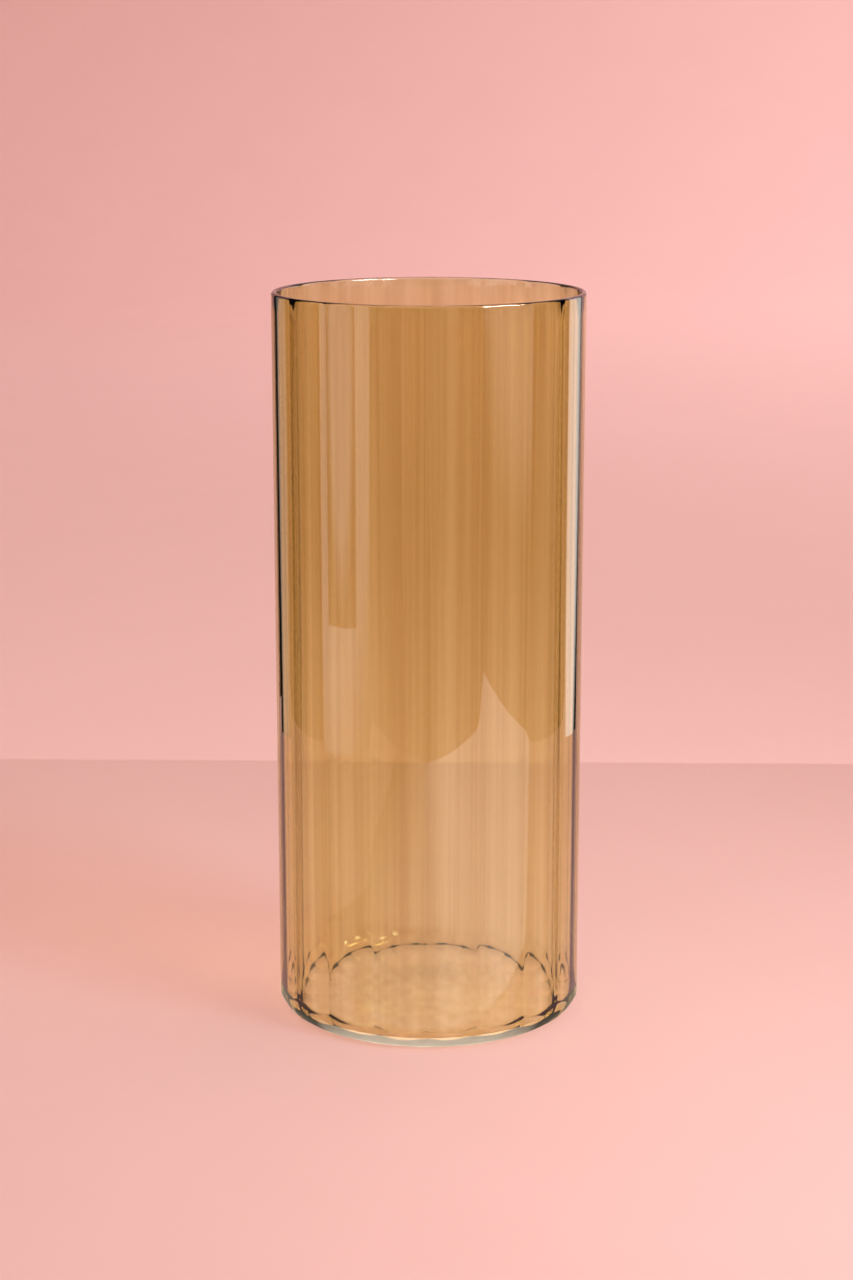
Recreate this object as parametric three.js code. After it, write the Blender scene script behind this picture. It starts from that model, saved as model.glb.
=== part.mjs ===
// A tall cylinder vase, mould-blown in amber glass as one piece.
//
// The frame: millimetres, +Z up, with the origin in the middle of the base on the
// surface the vase stands on. The outside has a gently curved panel for each flute. The
// inside has a hollow for each flute, and a ridge of thicker glass runs up between two
// hollows, behind the corner between two panels. One corner faces -Y and one faces +Y.

import * as THREE from "three";

// Driving dimensions
const HEIGHT = 250; // from the standing surface to the top of the lip
const CORNER_RADIUS = 53; // from the axis to the corner between two outside panels
const FLUTE_COUNT = 18; // flutes around the body
const PANEL_CURVE = 82; // radius of the arc that one outside panel follows
const WALL = 1.8; // glass thickness in the middle of a flute, where it is thinnest
const HOLLOW_CURVE = 32; // radius of the arc that hollows one flute inside
const LIP_ROUNDING = 0.9; // height of the fire-polished rounding of the lip
const HEEL_RADIUS = 5; // outside rounding between a panel and the base
const INNER_HEEL_RADIUS = 6; // rounding inside between a hollow and the floor
const FLOOR_THICKNESS = 2.3; // glass under the inside floor, over the resting ring
const RESTING_RING_WIDTH = 16; // flat ring that the vase stands on
const PUSH_UP = 0.5; // how far the underside rises in the middle of that ring

// How finely the round shapes are cut into flat faces
const STEPS_PER_FLUTE = 6; // even, so that every ridge and every hollow gets a vertex
const ARC_DIVISIONS = 3; // a rounding gets twice as many flat strips

const pitch = (2 * Math.PI) / FLUTE_COUNT;
const panelHalfWidth = CORNER_RADIUS * Math.sin(pitch / 2);
const panelRise = PANEL_CURVE - Math.sqrt(PANEL_CURVE ** 2 - panelHalfWidth ** 2);
const panelRadius = CORNER_RADIUS * Math.cos(pitch / 2) + panelRise;
const hollowDepthRadius = panelRadius - WALL;
const footRadius = panelRadius - HEEL_RADIUS;
const ringInnerRadius = footRadius - RESTING_RING_WIDTH;
const lipStart = HEIGHT - LIP_ROUNDING;

// The profiles are the cut from the axis through the middle of a flute: x is the radius
// and y the height. Together they run from the axis underneath, up the outside, over
// the lip and down the inside to the axis again.
function outsideProfile() {
  const path = new THREE.Path();
  path.moveTo(0, PUSH_UP);
  path.quadraticCurveTo(ringInnerRadius / 2, PUSH_UP, ringInnerRadius, 0);
  path.lineTo(footRadius, 0);
  path.absarc(footRadius, HEEL_RADIUS, HEEL_RADIUS, -Math.PI / 2, 0, false);
  path.lineTo(panelRadius, lipStart);
  return path.getPoints(ARC_DIVISIONS);
}

function lipProfile() {
  const path = new THREE.Path();
  path.absellipse(panelRadius - WALL / 2, lipStart, WALL / 2, LIP_ROUNDING, 0, Math.PI);
  return path.getPoints(ARC_DIVISIONS);
}

function insideProfile() {
  const path = new THREE.Path();
  const cornerHeight = FLOOR_THICKNESS + INNER_HEEL_RADIUS;
  const cornerReach = hollowDepthRadius - INNER_HEEL_RADIUS;
  path.moveTo(hollowDepthRadius, lipStart);
  path.lineTo(hollowDepthRadius, cornerHeight);
  path.absarc(cornerReach, cornerHeight, INNER_HEEL_RADIUS, 0, -Math.PI / 2, true);
  path.lineTo(0, FLOOR_THICKNESS);
  return path.getPoints(ARC_DIVISIONS);
}

// One closed profile, and for each of its points how far through the wall it lies:
// 1 on the outside surface, 0 on the inside surface, and between the two on the lip.
function wholeProfile() {
  const outside = outsideProfile();
  const lip = lipProfile().slice(1, -1);
  const inside = insideProfile();
  const shares = [
    ...outside.map(() => 1),
    ...lip.map((point) => (point.x - hollowDepthRadius) / WALL),
    ...inside.map(() => 0),
  ];
  return { points: [...outside, ...lip, ...inside], shares };
}

// A flute's arc, seen from the axis at an angle from the middle of the flute: its
// distance there, as a share of its distance in the middle.
function arcStretch(fromMiddle, middleRadius, curve) {
  const centre = middleRadius - curve;
  const across = centre * Math.sin(fromMiddle);
  const reach = centre * Math.cos(fromMiddle) + Math.sqrt(curve ** 2 - across ** 2);
  return reach / middleRadius;
}

// Turns a plain turned body into a fluted one. Every radius is stretched in proportion,
// so panels and hollows run round the heel and close in on the middle of the base.
function pressFlutes(geometry, shares) {
  const position = geometry.getAttribute("position");
  for (let i = 0; i < position.count; i++) {
    const x = position.getX(i);
    const y = position.getY(i);
    const fromFront = Math.atan2(x, -y);
    const flute = Math.floor(fromFront / pitch + 1e-6);
    const fromMiddle = fromFront - (flute + 0.5) * pitch;
    const share = shares[i % shares.length];
    const outside = arcStretch(fromMiddle, panelRadius, PANEL_CURVE);
    const inside = arcStretch(fromMiddle, hollowDepthRadius, HOLLOW_CURVE);
    const stretch = inside + (outside - inside) * share;
    position.setX(i, x * stretch);
    position.setY(i, y * stretch);
  }
}

// LatheGeometry turns its profile about Y, so the result is stood up on Z.
function vaseBodyGeometry() {
  const { points, shares } = wholeProfile();
  const geometry = new THREE.LatheGeometry(points, FLUTE_COUNT * STEPS_PER_FLUTE);
  geometry.rotateX(Math.PI / 2);
  pressFlutes(geometry, shares);
  geometry.computeVertexNormals();
  return geometry;
}

const amberGlass = new THREE.MeshStandardMaterial({
  name: "amber_glass",
  color: 0xc68f52,
  roughness: 0.04,
  metalness: 0,
  transparent: true,
  opacity: 0.5,
});

const vaseBody = new THREE.Mesh(vaseBodyGeometry(), amberGlass);
vaseBody.name = "vase_body";

const vase = new THREE.Group();
vase.name = "fluted_glass_vase";
vase.add(vaseBody);

export default vase;
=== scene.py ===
# %% [markdown]
# A tall cylinder vase, blown from amber glass in a ribbed mould. The CAD model is loaded
# first: it gives the vase's real size and place, and every measure below starts from it.

# %% Load the frame
import math

import bpy
import numpy as np
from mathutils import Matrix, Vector


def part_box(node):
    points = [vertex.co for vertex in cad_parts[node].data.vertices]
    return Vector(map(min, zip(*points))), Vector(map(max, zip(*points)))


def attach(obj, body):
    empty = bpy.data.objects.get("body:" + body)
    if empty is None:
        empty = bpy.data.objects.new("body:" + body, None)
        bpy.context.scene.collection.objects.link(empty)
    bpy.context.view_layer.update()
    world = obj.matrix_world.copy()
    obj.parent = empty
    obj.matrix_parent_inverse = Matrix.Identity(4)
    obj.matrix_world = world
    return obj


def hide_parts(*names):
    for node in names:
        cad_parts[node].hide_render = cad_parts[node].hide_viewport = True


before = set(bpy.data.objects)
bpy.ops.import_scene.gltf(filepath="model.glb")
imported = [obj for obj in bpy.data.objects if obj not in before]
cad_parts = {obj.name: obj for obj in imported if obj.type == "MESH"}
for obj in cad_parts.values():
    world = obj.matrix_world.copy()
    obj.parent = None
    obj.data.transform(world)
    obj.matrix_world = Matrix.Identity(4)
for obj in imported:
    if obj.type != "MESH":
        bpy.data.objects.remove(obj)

MM = 0.001
low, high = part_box("vase_body")
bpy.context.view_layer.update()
HEIGHT = high.z - low.z
CORNER_RADIUS = high.y
PANEL_RADIUS = high.x
print(f"vase {HEIGHT / MM:.0f} mm tall, {2 * CORNER_RADIUS / MM:.0f} mm over the corners")

# %% [markdown]
# The camera is a portrait lens on a stand, a little above the lip and looking down, so
# that the mouth shows as a thin ellipse and the base as a rounder one. The vase is
# turned a degree against the camera, so the front corner sits just left of the middle.

# %% Camera
LENS_MM = 70.0
SENSOR_MM = 36.0
CAMERA_AWAY = 0.8365
CAMERA_HEIGHT = 0.3273
CAMERA_TILT = math.radians(13.275)
CAMERA_TURN = math.radians(1.2)
LENS_SHIFT = -0.001875  # a hair sideways, as a share of the sensor

camera_data = bpy.data.cameras.new("camera")
camera_data.lens = LENS_MM
camera_data.sensor_width = SENSOR_MM
camera_data.shift_x = LENS_SHIFT
camera_data.clip_start = 0.01
camera = bpy.data.objects.new("camera", camera_data)
camera.location = (
    CAMERA_AWAY * math.sin(CAMERA_TURN),
    -CAMERA_AWAY * math.cos(CAMERA_TURN),
    CAMERA_HEIGHT,
)
camera.rotation_euler = (math.pi / 2 - CAMERA_TILT, 0.0, CAMERA_TURN)
bpy.context.scene.collection.objects.link(camera)
bpy.context.scene.camera = camera
bpy.context.scene.view_settings.view_transform = "Standard"
print(f"camera {LENS_MM:.0f} mm lens, {CAMERA_AWAY:.2f} m away")

# %% [markdown]
# A flute seen from above. Outside it is a nearly flat panel, and the corner between two
# panels is soft. Inside it is a hollow arc, and two hollows meet in a ridge of thicker
# glass. Each is worked out finely once, then softened a little, as hot glass softens.
# Real geometry is used and not bump, because glass bends light by its true thickness.

# %% The cut through one flute
FLUTES = 18
PITCH = 2 * math.pi / FLUTES
WALL = 1.8 * MM
HOLLOW_CURVE = 32 * MM
PANEL_CURVE = 82 * MM
CORNER_SOFTNESS = math.radians(0.55)
RIDGE_SOFTNESS = math.radians(0.3)
HOLLOW_MIDDLE = PANEL_RADIUS - WALL
FINE = 4000  # samples across one flute


def arc_radius(angle, middle, arc):
    """The distance from the axis to an arc whose middle is that far out."""
    centre = middle - arc
    return centre * np.cos(angle) + np.sqrt(arc**2 - (centre * np.sin(angle)) ** 2)


def softened(values, softness):
    """One flute's values with their corner rounded, as a repeating pattern."""
    step = PITCH / len(values)
    reach = int(4 * softness / step)
    offsets = np.arange(-reach, reach + 1)
    weights = np.exp(-0.5 * (offsets * step / softness) ** 2)
    weights /= weights.sum()
    return sum(w * np.roll(values, o) for o, w in zip(offsets, weights))


fine_angles = (np.arange(FINE) + 0.5) / FINE * PITCH
from_middle = fine_angles - PITCH / 2
panel_fine = softened(arc_radius(from_middle, PANEL_RADIUS, PANEL_CURVE), CORNER_SOFTNESS)
hollow_fine = softened(arc_radius(from_middle, HOLLOW_MIDDLE, HOLLOW_CURVE), RIDGE_SOFTNESS)


def panel_at(angle):
    """Outside radius at an angle from the front corner."""
    return np.interp(np.mod(angle, PITCH), fine_angles, panel_fine, period=PITCH)


def hollow_at(angle):
    """Inside radius at an angle from the front corner."""
    return np.interp(np.mod(angle, PITCH), fine_angles, hollow_fine, period=PITCH)


ridge_glass = panel_at(0.0) - hollow_at(0.0)
print(f"glass {WALL / MM:.1f} mm in a hollow, {ridge_glass / MM:.1f} mm at a ridge")

# %% [markdown]
# Blown glass is never quite even. Slow waves bend the ridges a little and change the
# wall, and faint streaks run up the inside where the mould and the air drew the glass.
# They are sums of sines with random phases, so the pattern closes round the vase.

# %% Unevenness from the blowing
chance = np.random.default_rng(18)


def waves(angle, height, turns, climb, amplitude):
    """A smooth repeating pattern: each wave has its own count, slope and phase."""
    total = np.zeros(np.broadcast(angle, height).shape)
    for count in turns:
        phase, slope = chance.uniform(0, 2 * math.pi), chance.uniform(-1, 1)
        total += np.sin(count * angle + phase + slope * climb * height / HEIGHT)
    return total * amplitude / math.sqrt(len(turns))


# %% [markdown]
# The skin is a grid: columns go round the vase and rows follow the cut from the middle
# of the underside, up the outside, over the lip and down inside to the middle of the
# floor. Columns crowd together at the ridges, where the glass bends light most.

# %% Columns
COLUMNS_PER_FLUTE = 28
CROWDING = 0.72  # 0 spaces the columns evenly, and near 1 most stand at the ridges

share = np.arange(COLUMNS_PER_FLUTE) / COLUMNS_PER_FLUTE
in_flute = PITCH * (share - CROWDING / (2 * math.pi) * np.sin(2 * math.pi * share))
columns = (np.arange(FLUTES)[:, None] * PITCH + in_flute[None, :]).ravel()
print(f"{len(columns)} columns")

# %% [markdown]
# Outside, the vase stands on a flat ring, because a flat disc of glass would rock. The
# middle is pushed up a little, and a small heel rounds the ring into the wall.

# %% Rows up the outside
HEEL_RADIUS = 5 * MM
RESTING_RING_WIDTH = 16 * MM
PUSH_UP = 0.5 * MM
LIP_ROUNDING = 0.9 * MM
LIP_START = HEIGHT - LIP_ROUNDING
HEEL_ROWS = 13
WALL_ROWS = 40

foot_radius = PANEL_RADIUS - HEEL_RADIUS
ring_inner = foot_radius - RESTING_RING_WIDTH


def smooth_steps(count):
    """From 0 to 1 in even steps, with both ends."""
    return np.linspace(0.0, 1.0, count)


def outside_rows():
    """(radius, height) up the outside of the middle of a flute, from the underside."""
    rows = []
    for t in smooth_steps(12)[1:-1]:
        rows.append((ring_inner * t, PUSH_UP * (1 - t**2) ** 2))
    for t in smooth_steps(5):
        rows.append((ring_inner + (foot_radius - ring_inner) * t, 0.0))
    for t in smooth_steps(HEEL_ROWS)[1:]:
        turn = t * math.pi / 2
        rows.append((
            foot_radius + HEEL_RADIUS * math.sin(turn),
            HEEL_RADIUS * (1 - math.cos(turn)),
        ))
    for t in smooth_steps(WALL_ROWS)[1:]:
        rows.append((PANEL_RADIUS, HEEL_RADIUS + (LIP_START - HEEL_RADIUS) * t))
    return np.array(rows)


outside = outside_rows()
print(f"{len(outside)} rows outside, standing on a ring {RESTING_RING_WIDTH / MM:.0f} mm wide")

# %% [markdown]
# Inside, the hollows bend round into the floor. The soft glass gathers there as the mould
# presses it, so the ridges swell in the bend and then die out on the floor as faint rays.
# Each row says which way a ridge pushes the glass out, and how much of it is left.

# %% Rows down the inside
INNER_HEEL_RADIUS = 6 * MM
FLOOR_THICKNESS = 2.3 * MM
FLOOR_ROWS = 26
RIDGE_LOST = 0.45  # share of the ridge that is gone where the bend meets the floor
RIDGE_SWELL = 1.3  # how much it swells in the middle of the bend, as a share of itself
RAY_SHARE = 0.55  # what is left of it where the floor starts
RAY_FADE = 5  # how quickly the rays die out towards the middle


def inside_rows():
    """(radius, height, way r, way z, ridge share) down the inside, to the floor."""
    rows = []
    bend_height = FLOOR_THICKNESS + INNER_HEEL_RADIUS
    bend_radius = HOLLOW_MIDDLE - INNER_HEEL_RADIUS
    for t in smooth_steps(WALL_ROWS):
        rows.append((HOLLOW_MIDDLE, LIP_START + (bend_height - LIP_START) * t, -1.0, 0.0, 1.0))
    for t in smooth_steps(HEEL_ROWS)[1:]:
        turn = t * math.pi / 2
        rows.append((
            bend_radius + INNER_HEEL_RADIUS * math.cos(turn),
            bend_height - INNER_HEEL_RADIUS * math.sin(turn),
            -math.cos(turn),
            math.sin(turn),
            1.0 - RIDGE_LOST * t + RIDGE_SWELL * math.sin(math.pi * t),
        ))
    for t in smooth_steps(FLOOR_ROWS)[1:-1]:
        ray = RAY_SHARE * (1 - t) ** RAY_FADE
        rows.append((bend_radius * (1 - t), FLOOR_THICKNESS, 0.0, 1.0, ray))
    return np.array(rows)


inside = inside_rows()
print(f"{len(inside)} rows inside, over a floor {FLOOR_THICKNESS / MM:.1f} mm thick")

# %% [markdown]
# Now every row is bent to the flutes. The outside sways by a third of a degree. The
# ridges inside sway by themselves, and thin ripples run along them. Light that crosses
# the wall meets both skins, so a wave too small to see in either still bends the lines.

# %% Place every point of the outside and the inside
INSIDE_THE_BOX = 0.9995  # a hair smaller, so the soft skin stays within the CAD solid
SWAY_OUTSIDE = math.radians(0.28)
SWAY_INSIDE = math.radians(0.35)
SLOW_RIPPLE = 0.05 * MM
FINE_RIPPLE = 0.006 * MM

angle_out = columns[None, :]
height_out = outside[:, 1][:, None]
sway = waves(angle_out, height_out, (1, 2, 3, 5), 3.0, SWAY_OUTSIDE)
stretch = panel_at(angle_out + sway) / PANEL_RADIUS
radius_out = outside[:, 0][:, None] * stretch * INSIDE_THE_BOX
z_out = np.broadcast_to(height_out, radius_out.shape)

height_in = inside[:, 1][:, None]
sway = waves(angle_out, height_in, (1, 2, 3, 5, 8), 4.0, SWAY_INSIDE)
ridge = HOLLOW_MIDDLE - hollow_at(angle_out + sway)
ridge = ridge + waves(angle_out, height_in, (2, 3, 5, 7), 5.0, SLOW_RIPPLE)
ridge = ridge + waves(angle_out, height_in, (61, 83, 97, 118, 139), 9.0, FINE_RIPPLE)
push = ridge * inside[:, 4][:, None]
radius_in = inside[:, 0][:, None] + push * inside[:, 2][:, None]
z_in = height_in + push * inside[:, 3][:, None]
thinnest = (radius_out[-1] - radius_in[0]).min()
print(f"glass {thinnest / MM:.2f} mm at the thinnest place under the lip")

# %% [markdown]
# The lip is fire-polished: a flame melts the cut edge until it pulls itself round. An
# arch of a few rows joins the two skins, and its bright line comes from that roundness.

# %% The lip
LIP_ROWS = 9

lip_turn = (np.arange(LIP_ROWS) + 1) / (LIP_ROWS + 1) * math.pi
across = (radius_out[-1] - radius_in[0]) / 2
radius_lip = radius_in[0] + across + across * np.cos(lip_turn)[:, None]
z_lip = LIP_START + LIP_ROUNDING * np.sin(lip_turn)[:, None] + 0 * radius_lip

radii = np.vstack([radius_out, radius_lip, radius_in])
heights = np.vstack([z_out, z_lip, z_in])
print(f"{len(radii)} rows in all, up to {heights.max() / MM:.1f} mm")

# %% [markdown]
# Real amber glass is coloured all through. Here part of the colour sits at the surfaces,
# because there it can vary. In the lip and the standing ring light bounces many times,
# and each bounce would take the tint again, until they were brown and not pale as real
# ones are. So a number on every point, called lustre, leaves the amber off there.

# %% Where the surfaces are amber
LUSTRE_STARTS = 1.2 * MM  # height on the heel where the amber begins
LUSTRE_RISE = 2.4 * MM  # and how far up it takes to become full

lustre_out = np.clip((outside[:, 1] - LUSTRE_STARTS) / LUSTRE_RISE, 0, 1)
lustre_out[outside[:, 0] < ring_inner] = 1.0
lustre = np.concatenate([lustre_out, np.zeros(LIP_ROWS), np.ones(len(inside))])
print(f"{np.count_nonzero(lustre < 1)} rows are clearer than the rest")

# %% [markdown]
# The points become one closed mesh, because glass must be watertight: light that enters
# has to find a way out. Four-sided faces fill the grid, and a fan of triangles closes
# the middle of the underside and the middle of the floor.

# %% Join the points into one closed mesh
rows, around = radii.shape
xs = radii * np.sin(columns)
ys = -radii * np.cos(columns)
points = np.stack([xs, ys, heights], axis=-1).reshape(-1, 3)
under_middle, floor_middle = len(points), len(points) + 1
points = np.vstack([points, [[0, 0, PUSH_UP], [0, 0, FLOOR_THICKNESS]]])

faces = []
for row in range(rows - 1):
    for col in range(around):
        after = (col + 1) % around
        here, up = row * around, (row + 1) * around
        faces.append((here + col, here + after, up + after, up + col))
top_row = (rows - 1) * around
for col in range(around):
    after = (col + 1) % around
    faces.append((under_middle, after, col))
    faces.append((floor_middle, top_row + col, top_row + after))

skin = bpy.data.meshes.new("vase_glass")
skin.from_pydata(points.tolist(), [], faces)
skin.validate()
skin.shade_smooth()
lustre_layer = skin.attributes.new("lustre", "FLOAT", "POINT")
lustre_layer.data.foreach_set("value", np.append(np.repeat(lustre, around), [1.0, 1.0]))
vase = bpy.data.objects.new("vase_glass", skin)
bpy.context.scene.collection.objects.link(vase)
print(f"{len(skin.polygons)} faces")

# %% [markdown]
# Materials are small graphs of nodes. These three helpers turn a colour as written for
# a screen into the light it stands for, add one node with its settings and links, and
# start a material with an empty graph.

# %% Helpers for materials
def linear(hex_colour):
    """An sRGB hex colour as linear red, green, blue and 1."""
    parts = [int(hex_colour[i : i + 2], 16) / 255 for i in (1, 3, 5)]
    return [p / 12.92 if p <= 0.04045 else ((p + 0.055) / 1.055) ** 2.4 for p in parts] + [1.0]


def add_node(tree, kind, settings=None, inputs=None):
    """A node with its settings and inputs. A socket as an input is linked."""
    node = tree.nodes.new(kind)
    for name, value in (settings or {}).items():
        setattr(node, name, value)
    for name, value in (inputs or {}).items():
        if isinstance(value, bpy.types.NodeSocket):
            tree.links.new(value, node.inputs[name])
        else:
            node.inputs[name].default_value = value
    return node


def new_material(name):
    """A material whose graph is still empty."""
    material = bpy.data.materials.new(name)
    material.use_nodes = True
    material.node_tree.nodes.clear()
    return material, material.node_tree


print(f"mid grey #808080 is {linear('#808080')[0]:.3f} in linear light")

# %% [markdown]
# Hand-blown soda-lime glass, drawn out while it is hot, is streaky: the colour is a
# little stronger or weaker in long upright bands. The eye reads them as depth and as
# handwork. Two noises make them, one wide and one thin, both stretched far upwards.

# %% Streaks in the glass
WIDE_STREAK = 7 * MM
THIN_STREAK = 1.3 * MM
STREAK_SQUASH = 0.012  # the pattern changes this much less up the vase than across it
THIN_SHARE = 0.22
STREAK_RANGE = (0.38, 0.62)  # the middle part of the noise, so most of it is used
STREAK_STRONG = "#F1E8D9"
STREAK_WEAK = "#FFFFFF"

glass, tree = new_material("amber_blown_glass")
place = add_node(tree, "ShaderNodeTexCoord").outputs["Object"]
tall = add_node(
    tree, "ShaderNodeMapping", inputs={"Vector": place, "Scale": (1.0, 1.0, STREAK_SQUASH)}
)
thin = add_node(
    tree,
    "ShaderNodeTexNoise",
    inputs={"Vector": tall.outputs[0], "Scale": 1 / THIN_STREAK, "Detail": 1.0},
)
wide = add_node(
    tree,
    "ShaderNodeTexNoise",
    inputs={"Vector": tall.outputs[0], "Scale": 1 / WIDE_STREAK, "Detail": 3.0},
)
streaks = add_node(
    tree,
    "ShaderNodeMix",
    {"data_type": "FLOAT"},
    {"Factor": THIN_SHARE, "A": wide.outputs["Fac"], "B": thin.outputs["Fac"]},
)
uneven = add_node(tree, "ShaderNodeValToRGB", inputs={"Fac": streaks.outputs["Result"]})
strong, weak = uneven.color_ramp.elements
strong.position, weak.position = STREAK_RANGE
strong.color, weak.color = linear(STREAK_STRONG), linear(STREAK_WEAK)
print(f"streaks {THIN_STREAK / MM:.1f} mm and {WIDE_STREAK / MM:.0f} mm wide")

# %% [markdown]
# The vase looks paler low down, where the pale paper shines through it, and richer near the top. A
# ramp over the height paints that paleness into the glass colour. Its lower colour is painted light,
# a paler tint that stands for the paper's glow, and its upper colour is the amber itself. The
# streaks darken the result, and the lustre number fades it to clear.

# %% Colour at the surfaces, painted paler low down
AMBER = "#F2F0CC"
PAINTED_PALE_AMBER_LOW = "#FCFFE8"
CLEAR = "#FDFBF4"
LOW_COLOUR_ENDS = 20 * MM
HIGH_COLOUR_STARTS = 170 * MM

height = add_node(tree, "ShaderNodeSeparateXYZ", inputs={"Vector": place}).outputs["Z"]
climb = add_node(
    tree,
    "ShaderNodeMapRange",
    inputs={"Value": height, "From Min": LOW_COLOUR_ENDS, "From Max": HIGH_COLOUR_STARTS},
)
# The lower end of this ramp is painted light: the glass is tinted paler where the pale paper shines
# through.
amber_and_painted_paleness = add_node(tree, "ShaderNodeValToRGB", inputs={"Fac": climb.outputs["Result"]})
amber_and_painted_paleness.color_ramp.elements[0].color = linear(PAINTED_PALE_AMBER_LOW)
amber_and_painted_paleness.color_ramp.elements[1].color = linear(AMBER)

# A colour mix keeps its two colours in sockets 6 and 7 and gives its result in socket 2.
MIX_A, MIX_B, MIX_RESULT = 6, 7, 2
streaked = add_node(
    tree,
    "ShaderNodeMix",
    {"data_type": "RGBA", "blend_type": "MULTIPLY"},
    {"Factor": 1.0, MIX_A: amber_and_painted_paleness.outputs["Color"], MIX_B: uneven.outputs["Color"]},
)
where = add_node(tree, "ShaderNodeAttribute", {"attribute_name": "lustre"})
tint = add_node(
    tree,
    "ShaderNodeMix",
    {"data_type": "RGBA"},
    {
        "Factor": where.outputs["Fac"],
        MIX_A: linear(CLEAR),
        MIX_B: streaked.outputs[MIX_RESULT],
    },
)
print(f"amber {AMBER} above, {PAINTED_PALE_AMBER_LOW} below, {CLEAR} at the ring and the lip")

# %% [markdown]
# Glass is a see-through surface with a coloured inside. The surface is almost mirror
# smooth, as fire leaves it, with a trace of bump from the drawing. Inside, an absorption
# takes away blue and some green with every millimetre, so thick ridges and edges turn
# brown by themselves. That is what tells the eye that the wall has real thickness.

# %% Glass
GLASS_IOR = 1.52  # soda-lime glass
POLISH = 0.01
DRAWN_STRENGTH = 0.1
DRAWN_DEPTH = 0.02 * MM
TAKEN_PER_METRE = (20.0, 28.0, 90.0)  # of red, green and blue light

drawn = add_node(
    tree,
    "ShaderNodeBump",
    inputs={
        "Height": thin.outputs["Fac"],
        "Strength": DRAWN_STRENGTH,
        "Distance": DRAWN_DEPTH,
    },
)
surface = add_node(
    tree,
    "ShaderNodeBsdfPrincipled",
    inputs={
        "Base Color": tint.outputs[MIX_RESULT],
        "Normal": drawn.outputs[0],
        "Roughness": POLISH,
        "IOR": GLASS_IOR,
        "Transmission Weight": 1.0,
    },
)
strongest = max(TAKEN_PER_METRE)
inside_tint = add_node(
    tree,
    "ShaderNodeVolumeAbsorption",
    inputs={
        "Color": [1 - taken / strongest for taken in TAKEN_PER_METRE] + [1.0],
        "Density": strongest,
    },
)
add_node(
    tree,
    "ShaderNodeOutputMaterial",
    inputs={"Surface": surface.outputs[0], "Volume": inside_tint.outputs[0]},
)
skin.materials.append(glass)
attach(vase, "root")
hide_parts("vase_body")
blue_left = math.exp(-strongest * 2 * WALL)
print(f"two walls let {100 * blue_left:.0f} percent of the blue light through the inside")

# %% [markdown]
# The stage is a wide round sweep of pale blush paper: flat under the vase, then curving
# up far behind every camera, so that no view sees an end to it. Its profile is a line, a
# quarter of a circle and a line, turned about the middle of the stage.

# %% The sweep
SWEEP_FLAT = 2.6
SWEEP_BEND = 0.9
SWEEP_TOP = 2.2
SWEEP_SIDES = 128
BEND_STEPS = 16
SHEET_THICKNESS = 1.0 * MM
AIR_UNDER_VASE = 0.1 * MM  # glass and paper never quite touch, which keeps the base clear
SWEEP_LEVEL = -SHEET_THICKNESS - 2 * AIR_UNDER_VASE

profile = [(0.0, 0.0), (SWEEP_FLAT, 0.0)]
for step in range(1, BEND_STEPS + 1):
    turn = step / BEND_STEPS * math.pi / 2
    reach = SWEEP_FLAT + SWEEP_BEND * math.sin(turn)
    profile.append((reach, SWEEP_BEND * (1 - math.cos(turn))))
profile.append((SWEEP_FLAT + SWEEP_BEND, SWEEP_TOP))
stage_points = [(0.0, 0.0, SWEEP_LEVEL)]
for radius, height in profile[1:]:
    for side in range(SWEEP_SIDES):
        turn = side / SWEEP_SIDES * 2 * math.pi
        stage_points.append((radius * math.cos(turn), radius * math.sin(turn), SWEEP_LEVEL + height))
stage_faces = []
for side in range(SWEEP_SIDES):
    after = (side + 1) % SWEEP_SIDES
    stage_faces.append((0, 1 + side, 1 + after))
    for ring in range(len(profile) - 2):
        here, up = 1 + ring * SWEEP_SIDES, 1 + (ring + 1) * SWEEP_SIDES
        stage_faces.append((here + side, up + side, up + after, here + after))
print(f"a sweep {2 * (SWEEP_FLAT + SWEEP_BEND):.1f} m across")

# %% [markdown]
# Blush paper is uncoated and matt: it gives the eye soft, even colour and no shine, so
# it has no specular part at all. Its fibres lie in faint clouds. Real clouds are a few
# millimetres wide, which is too fine to show here, so they are drawn about 70 mm wide.

# %% Paper
CLOUDS_PER_METRE = 14.0
PAPER_ROUGHNESS = 0.9


def stage_piece(name, points, faces, material):
    """A mesh that belongs to the studio and not to the vase."""
    mesh = bpy.data.meshes.new(name)
    mesh.from_pydata(points, [], faces)
    mesh.materials.append(material)
    piece = bpy.data.objects.new(name, mesh)
    bpy.context.scene.collection.objects.link(piece)
    return piece


def paper_material(name, dark, light):
    """Uncoated paper with a faint cloudy mottle between two colours."""
    material, tree = new_material(name)
    place = add_node(tree, "ShaderNodeTexCoord").outputs["Object"]
    mottle = add_node(
        tree,
        "ShaderNodeTexNoise",
        inputs={"Vector": place, "Scale": CLOUDS_PER_METRE, "Detail": 4.0},
    )
    blush = add_node(tree, "ShaderNodeValToRGB", inputs={"Fac": mottle.outputs["Fac"]})
    blush.color_ramp.elements[0].color = linear(dark)
    blush.color_ramp.elements[1].color = linear(light)
    matt = add_node(
        tree,
        "ShaderNodeBsdfPrincipled",
        inputs={
            "Base Color": blush.outputs["Color"],
            "Roughness": PAPER_ROUGHNESS,
            "Specular IOR Level": 0.0,
        },
    )
    add_node(tree, "ShaderNodeOutputMaterial", inputs={"Surface": matt.outputs[0]})
    return material


sweep_paper = paper_material("blush_sweep_paper", "#EFBFB7", "#F2C2BA")
sheet_paper = paper_material("blush_sheet_paper", "#EFC0B8", "#F2C4BD")
sweep = stage_piece("paper_sweep", stage_points, stage_faces, sweep_paper)
sweep.data.shade_smooth()
print(f"{len(stage_faces)} faces of paper")

# %% [markdown]
# The vase stands on a thin sheet of the same paper, laid on the sweep. The straight back
# edge of the sheet draws the faint line behind the vase, so the eye finds a table.

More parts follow.
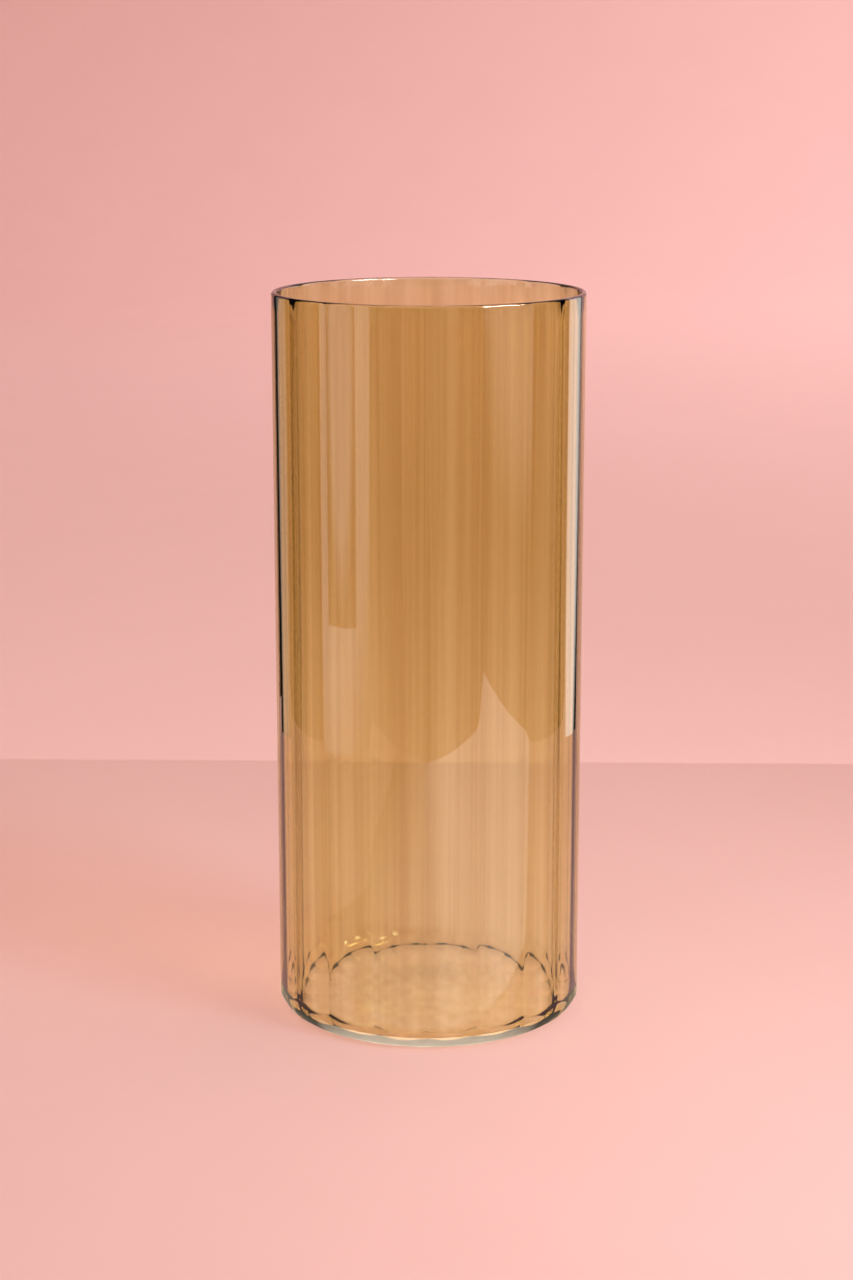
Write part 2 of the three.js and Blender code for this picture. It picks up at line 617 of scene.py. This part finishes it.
# %% The sheet under the vase
SHEET_SIDE = 0.41
SHEET_FRONT = 0.40
SHEET_BACK = 0.30
BOX_FACES = [(0, 1, 3, 2), (4, 6, 7, 5), (0, 4, 5, 1), (2, 3, 7, 6), (0, 2, 6, 4), (1, 5, 7, 3)]


def box_points(low_corner, high_corner):
    """The eight corners of a box, in the order that BOX_FACES joins them."""
    return [
        (x, y, z)
        for x in (low_corner[0], high_corner[0])
        for y in (low_corner[1], high_corner[1])
        for z in (low_corner[2], high_corner[2])
    ]


sheet = stage_piece(
    "paper_sheet",
    box_points(
        (-SHEET_SIDE, -SHEET_FRONT, -AIR_UNDER_VASE - SHEET_THICKNESS),
        (SHEET_SIDE, SHEET_BACK, -AIR_UNDER_VASE),
    ),
    BOX_FACES,
    sheet_paper,
)
print(f"a sheet {2 * SHEET_SIDE:.2f} m wide and {SHEET_FRONT + SHEET_BACK:.2f} m deep")

# %% [markdown]
# Dark cloth stands at the front and sides of the sheet, as in a studio, to keep glare
# off the glass. Only reflections see it. Where the glass mirrors the sheet it looks
# pale, and where it mirrors the cloth it stays rich, with a curved line between. Felt is
# pressed wool: it gives the eye a soft black. Its hairs are far too fine to show, so the
# fuzz is drawn about 3 mm wide.

# %% Dark cloth
CLOTH_TALL = 0.9
FUZZ_PER_METRE = 300.0
CLOTH_END = (-0.27, 0.36)  # the cloth turns a little inwards behind the sheet's left corner

cloth_material, tree = new_material("black_felt")
fuzz = add_node(
    tree,
    "ShaderNodeTexNoise",
    inputs={
        "Vector": add_node(tree, "ShaderNodeTexCoord").outputs["Object"],
        "Scale": FUZZ_PER_METRE,
    },
)
felt = add_node(tree, "ShaderNodeValToRGB", inputs={"Fac": fuzz.outputs["Fac"]})
felt.color_ramp.elements[0].color = linear("#171210")
felt.color_ramp.elements[1].color = linear("#2A211D")
dull = add_node(
    tree,
    "ShaderNodeBsdfPrincipled",
    inputs={"Base Color": felt.outputs["Color"], "Roughness": 1.0},
)
add_node(tree, "ShaderNodeOutputMaterial", inputs={"Surface": dull.outputs[0]})


def only_in_reflections(piece):
    """Hides a stage piece from everything but a mirror-like bounce."""
    piece.visible_camera = False
    piece.visible_diffuse = False
    piece.visible_transmission = False
    piece.visible_volume_scatter = False
    piece.visible_shadow = False


left, right, front = -SHEET_SIDE, SHEET_SIDE, -SHEET_FRONT
corners = [CLOTH_END, (left, SHEET_BACK), (left, front), (right, front), (right, SHEET_BACK)]
cloth_points = [(x, y, z) for x, y in corners for z in (0.0, CLOTH_TALL)]
cloth_faces = [(2 * i, 2 * i + 2, 2 * i + 3, 2 * i + 1) for i in range(len(corners) - 1)]
only_in_reflections(stage_piece("dark_cloth", cloth_points, cloth_faces, cloth_material))
print(f"{len(cloth_faces)} lengths of cloth, {CLOTH_TALL:.1f} m tall")

# %% [markdown]
# Soft studio light. The key is a big soft lamp in front on the right, so that the shadow
# falls to the left. Light that crosses amber glass still reaches the paper, warmer, so
# the key is two lights in one place: the warm one passes the glass, the cool one is
# stopped by it, and together they are white. Light linking says what stops a light: a
# light with a blocker collection throws shadows only from the pieces in it.

# %% Key light
WHITE = "#FFFFFF"
VASE_MIDDLE = 0.12
KEY_PLACE = dict(azimuth=57.6, away=2.6, height=1.9, radius=0.6, cone=70.0)


def round_from_front(azimuth, away, height):
    """A place on a circle round the vase, azimuth degrees from the front to the right."""
    turn = math.radians(azimuth)
    return (away * math.sin(turn), -away * math.cos(turn), height)


def add_light(name, kind, watts, colour, location):
    """A light that the camera doesn't see."""
    data = bpy.data.lights.new(name, kind)
    data.energy = watts
    data.color = linear(colour)[:3]
    light = bpy.data.objects.new(name, data)
    light.location = location
    light.visible_camera = False
    bpy.context.scene.collection.objects.link(light)
    return light


def soft_spot(name, azimuth, away, height, radius, cone, watts, colour=WHITE, aim=VASE_MIDDLE):
    """A soft round light with a cone, so that the floor close under it stays calm."""
    light = add_light(name, "SPOT", watts, colour, round_from_front(azimuth, away, height))
    light.data.shadow_soft_size = radius
    light.data.spot_size = math.radians(cone)
    light.data.spot_blend = 1.0
    facing = Vector((0.0, 0.0, aim)) - light.location
    light.rotation_euler = facing.to_track_quat("-Z", "Y").to_euler()
    light.visible_glossy = False
    return light


key_warm = soft_spot("key_through_glass", **KEY_PLACE, watts=134.0, colour="#FFDDC5")
key_cool = soft_spot("key", **KEY_PLACE, watts=118.0, colour="#BAE7FF")

stops_warm_key = bpy.data.collections.new("stops_warm_key")
stops_warm_key.objects.link(sweep)
stops_warm_key.objects.link(sheet)
key_warm.light_linking.blocker_collection = stops_warm_key
print(f"key light {KEY_PLACE['away']:.1f} m away, {KEY_PLACE['height']:.1f} m up")

# %% [markdown]
# Two more lights are for the paper alone: one brightens the sheet near the vase, and one
# brightens the far side of the sweep. A receiver collection names what a light reaches.

# %% Paper lights
FAR_SIZE = 2.0
FAR_TILT = math.radians(10.0)

near = soft_spot("near_paper_light", 52.0, 0.85, 0.5, 0.2, 64.0, 25.0, "#F4FAFF", aim=0.0)
far_place = round_from_front(150.0, 2.9, 2.2)
far = add_light("far_paper_light", "AREA", 58.0, "#E8F5FF", far_place)
far.data.shape = "RECTANGLE"
far.data.size, far.data.size_y = FAR_SIZE, FAR_SIZE
far.rotation_euler = (FAR_TILT, 0.0, 0.0)
only_sweep = bpy.data.collections.new("only_sweep")
only_sweep.objects.link(sweep)
near.light_linking.receiver_collection = stops_warm_key
near.light_linking.blocker_collection = stops_warm_key
far.light_linking.receiver_collection = only_sweep
far.light_linking.blocker_collection = stops_warm_key
print(f"paper lights of {near.data.energy:.0f} W and {far.data.energy:.0f} W")

# %% [markdown]
# Clear glass is lit by what it mirrors, and a studio puts soft panels round it for that.
# These stand upright round the vase, and only reflections see them. Each draws one pale
# band in the wall or along an edge, and one high panel draws the bright line of the lip.
# They fade at the edge, as light through thin cloth does, so that no band ends sharply.

# %% Glowing panels
EDGE_FADE = 0.3  # the share of the way from the edge to the middle that the fade takes


def glow_panel(name, azimuth, away, ends, width, strength, colour):
    """An upright oval of soft light that shows only as a reflection."""
    material, tree = new_material(name + "_light")
    place = add_node(tree, "ShaderNodeTexCoord").outputs["Object"]
    oval = add_node(
        tree,
        "ShaderNodeMapping",
        inputs={"Vector": place, "Scale": (2 / width, 0.0, 2 / (ends[1] - ends[0]))},
    )
    ball = add_node(
        tree, "ShaderNodeTexGradient", {"gradient_type": "SPHERICAL"}, {"Vector": oval.outputs[0]}
    )
    edge = add_node(tree, "ShaderNodeValToRGB", inputs={"Fac": ball.outputs["Fac"]})
    edge.color_ramp.elements[0].color = (0, 0, 0, 1)
    edge.color_ramp.elements[1].position = EDGE_FADE
    edge.color_ramp.elements[1].color = linear(colour)
    glow = add_node(
        tree, "ShaderNodeEmission", inputs={"Color": edge.outputs["Color"], "Strength": strength}
    )
    add_node(tree, "ShaderNodeOutputMaterial", inputs={"Surface": glow.outputs[0]})
    half, tall = width / 2, (ends[1] - ends[0]) / 2
    square = [(-half, 0, -tall), (half, 0, -tall), (half, 0, tall), (-half, 0, tall)]
    panel = stage_piece(name, square, [(0, 1, 2, 3)], material)
    panel.location = round_from_front(azimuth, away, sum(ends) / 2)
    panel.rotation_euler = (0.0, 0.0, math.radians(azimuth))
    only_in_reflections(panel)
    return panel


panels = [
    glow_panel("right_panel", 129.0, 0.39, (-0.10, 0.48), 0.14, 2.2, "#FFF8F0"),
    glow_panel("left_bounce", -66.0, 0.40, (-0.06, 0.60), 0.50, 1.9, "#FFF4EC"),
    glow_panel("right_bounce", 66.0, 0.40, (0.10, 0.50), 0.44, 1.1, "#FFF4EC"),
    glow_panel("key_face", 57.6, 0.39, (0.42, 0.74), 0.36, 45.0, "#FFFAF4"),
    glow_panel("left_panel", -131.0, 0.385, (-0.10, 0.48), 0.10, 0.55, "#FFF0E0"),
    glow_panel("left_window", -60.5, 0.385, (0.066, 0.36), 0.105, 1.8, "#FFF4EC"),
]
print(f"{len(panels)} panels")

# %% [markdown]
# Light caught in the wall of a real vase runs down inside it and leaves at the foot, so
# the base has a pale rim. A renderer gives up after a few bounces and would leave that
# rim black. So a thin glowing collar lies round the foot for reflections to end on. It
# brightens outwards, and fades from the front of the vase to the back.

# %% Collar of light round the foot
COLLAR = (48 * MM, 61 * MM)
COLLAR_LEVEL = -0.05 * MM
COLLAR_FADE = (48.5 * MM, 53.5 * MM)
COLLAR_GLOW = (0.8, 11.0)
COLLAR_FRONT = (-54 * MM, -34 * MM)
COLLAR_BACK_SHARE = 0.06

collar_material, tree = new_material("collar_light")
collar_place = add_node(tree, "ShaderNodeTexCoord").outputs["Object"]
collar_reach = add_node(tree, "ShaderNodeVectorMath", {"operation": "LENGTH"}, {0: collar_place})
collar_fade = add_node(
    tree,
    "ShaderNodeMapRange",
    inputs={
        "Value": collar_reach.outputs["Value"],
        "From Min": COLLAR_FADE[0],
        "From Max": COLLAR_FADE[1],
        "To Min": COLLAR_GLOW[0],
        "To Max": COLLAR_GLOW[1],
    },
)
collar_y = add_node(tree, "ShaderNodeSeparateXYZ", inputs={"Vector": collar_place}).outputs["Y"]
collar_front = add_node(
    tree,
    "ShaderNodeMapRange",
    inputs={
        "Value": collar_y,
        "From Min": COLLAR_FRONT[0],
        "From Max": COLLAR_FRONT[1],
        "To Min": 1.0,
        "To Max": COLLAR_BACK_SHARE,
    },
)
collar_strength = add_node(
    tree,
    "ShaderNodeMath",
    {"operation": "MULTIPLY"},
    {0: collar_fade.outputs["Result"], 1: collar_front.outputs["Result"]},
)
collar_glow = add_node(
    tree,
    "ShaderNodeEmission",
    inputs={"Color": linear("#FFE8CC"), "Strength": collar_strength.outputs[0]},
)
add_node(tree, "ShaderNodeOutputMaterial", inputs={"Surface": collar_glow.outputs[0]})

collar_points = []
for side in range(SWEEP_SIDES):
    turn = side / SWEEP_SIDES * 2 * math.pi
    for radius in COLLAR:
        collar_points.append((radius * math.cos(turn), radius * math.sin(turn), COLLAR_LEVEL))
collar_faces = []
for side in range(SWEEP_SIDES):
    here, after = 2 * side, 2 * ((side + 1) % SWEEP_SIDES)
    collar_faces.append((here, here + 1, after + 1, after))
only_in_reflections(stage_piece("light_collar", collar_points, collar_faces, collar_material))
print(f"a collar from {COLLAR[0] / MM:.0f} to {COLLAR[1] / MM:.0f} mm from the middle")

# %% [markdown]
# A white card lies on the sheet in front, as one does in a studio to lift the lower half of a glass.
# The wall mirrors it as a scalloped pale shape, one scallop for each panel. No lamp lights the card.
# It glows, and only reflections see it. Its glow is painted light that grows stronger towards the
# right, where it stands for the key light falling on the card.

# %% Glowing card, painted light seen only in reflections
CARD_LEFT = -0.15
CARD_FULL = 0.10
CARD_BACK = -0.07
CARD_LEVEL = 0.4 * MM
CARD_GLOW = 2.2

card_material, tree = new_material("white_card_light")
card_place = add_node(tree, "ShaderNodeTexCoord").outputs["Object"]
card_x = add_node(tree, "ShaderNodeSeparateXYZ", inputs={"Vector": card_place}).outputs["X"]
# Painted light: the card's glow rises towards the right and stands for the key light that falls
# there.
card_painted_key_light = add_node(
    tree,
    "ShaderNodeMapRange",
    inputs={
        "Value": card_x,
        "From Min": CARD_LEFT,
        "From Max": CARD_FULL,
        "To Min": 0.0,
        "To Max": CARD_GLOW,
    },
)
card_glow = add_node(
    tree,
    "ShaderNodeEmission",
    inputs={"Color": linear("#FFF2EC"), "Strength": card_painted_key_light.outputs["Result"]},
)
add_node(tree, "ShaderNodeOutputMaterial", inputs={"Surface": card_glow.outputs[0]})
card_points = [
    (CARD_LEFT, -SHEET_FRONT, CARD_LEVEL),
    (SHEET_SIDE, -SHEET_FRONT, CARD_LEVEL),
    (SHEET_SIDE, CARD_BACK, CARD_LEVEL),
    (CARD_LEFT, CARD_BACK, CARD_LEVEL),
]
only_in_reflections(stage_piece("glowing_card", card_points, [(0, 1, 2, 3)], card_material))
print(f"a card {SHEET_SIDE - CARD_LEFT:.2f} m wide")

# %% [markdown]
# Light also falls in at the open mouth and out through the base, onto the paper under
# the vase. A small lamp inside, above the floor, stands for it. Its cone just covers the
# foot, it lights only the sheet, and no reflection or refraction shows the lamp itself.

# %% Light through the base
FILL_HEIGHT = 0.2
FILL_SPREAD = 1.02  # how far its cone reaches, as a share of the foot's radius
FILL_SOFT_EDGE = 0.25
FILL_RADIUS = 4 * MM

fill_place = (0.0, 0.0, FILL_HEIGHT)
fill = add_light("light_through_the_base", "SPOT", 0.9, "#ADCCFF", fill_place)
fill.data.spot_size = 2 * math.atan(FILL_SPREAD * foot_radius / FILL_HEIGHT)
fill.data.spot_blend = FILL_SOFT_EDGE
fill.data.shadow_soft_size = FILL_RADIUS
fill.visible_glossy = False
fill.visible_transmission = False
lit_by_fill = bpy.data.collections.new("lit_by_fill")
lit_by_fill.objects.link(sheet)
fill.light_linking.receiver_collection = lit_by_fill
fill.light_linking.blocker_collection = stops_warm_key
print(f"a cone of {math.degrees(fill.data.spot_size):.0f} degrees over the base")

# %% [markdown]
# The room itself glows faintly and warmly, as pale studio walls do. This fills the
# shadow, so that it stays soft and the far side of the glass doesn't go black.

# %% Room light
ROOM_COLOUR = "#FFF2EA"
ROOM_STRENGTH = 0.475

world = bpy.data.worlds.new("glow")
bpy.context.scene.world = world
world.use_nodes = True
room = world.node_tree.nodes["Background"]
room.inputs["Color"].default_value = linear(ROOM_COLOUR)
room.inputs["Strength"].default_value = ROOM_STRENGTH
print(f"room light {ROOM_STRENGTH}")
